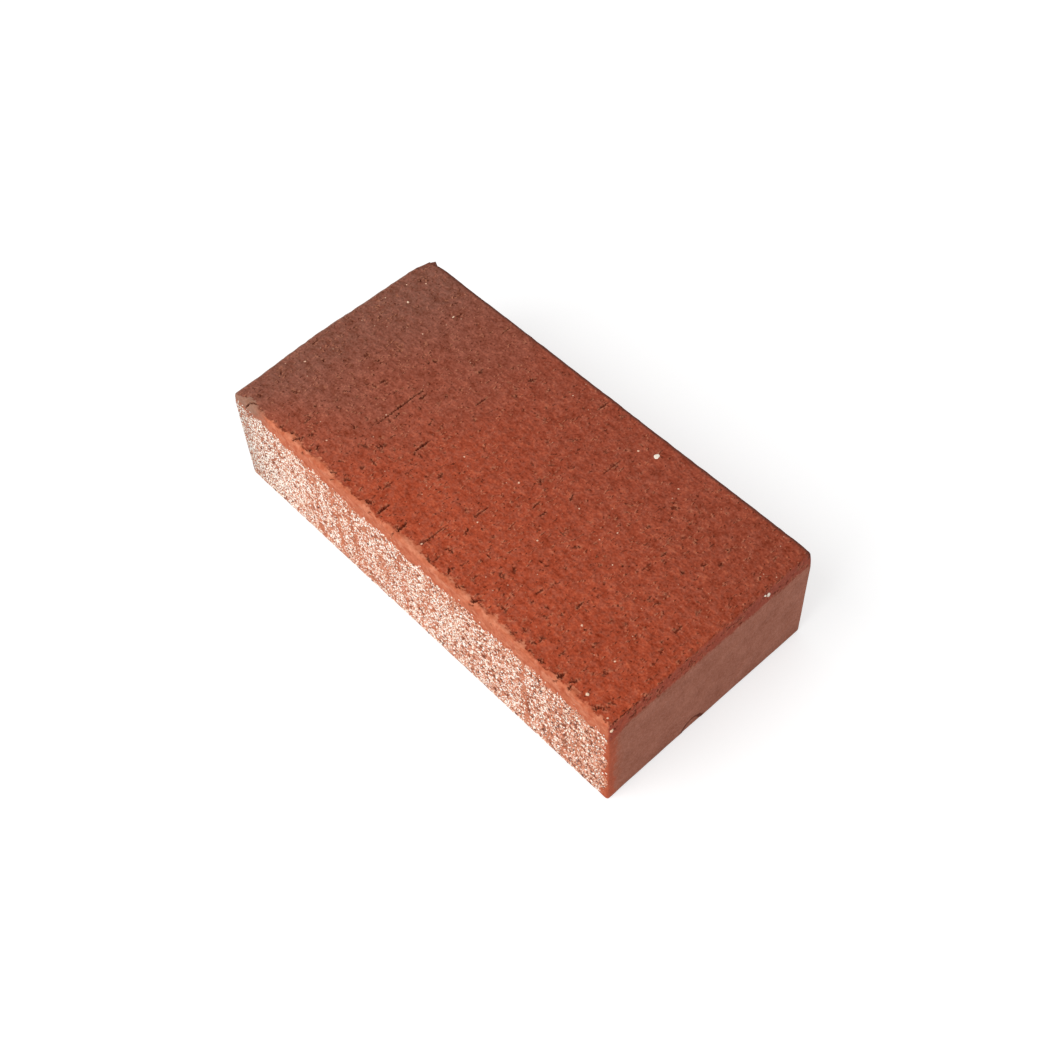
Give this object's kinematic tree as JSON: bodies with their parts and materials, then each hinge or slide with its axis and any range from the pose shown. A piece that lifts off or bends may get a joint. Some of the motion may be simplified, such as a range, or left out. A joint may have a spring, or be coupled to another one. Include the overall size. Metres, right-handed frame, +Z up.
{
  "type": "clay paver",
  "caption": "Rectangular fired clay paver with wire-cut beds, a rolled band round the top edge and a sand-faced long side, for laying in paths and patios.",
  "frame": {"origin": "centre of the bottom bed, on the surface that the paver lies on", "axes": "+X along the length, towards the chipped smooth end; +Y across the width, away from the sand-faced long side; +Z up, towards the wearing face"},
  "size_m": [0.2, 0.0984, 0.05],
  "materials": {
    "fired_clay": "matte red-brown fired clay, wire-cut on top, sand-faced on one long side"
  },
  "bodies": {
    "root": {"paver": "fired_clay"}
  },
  "joints": []
}
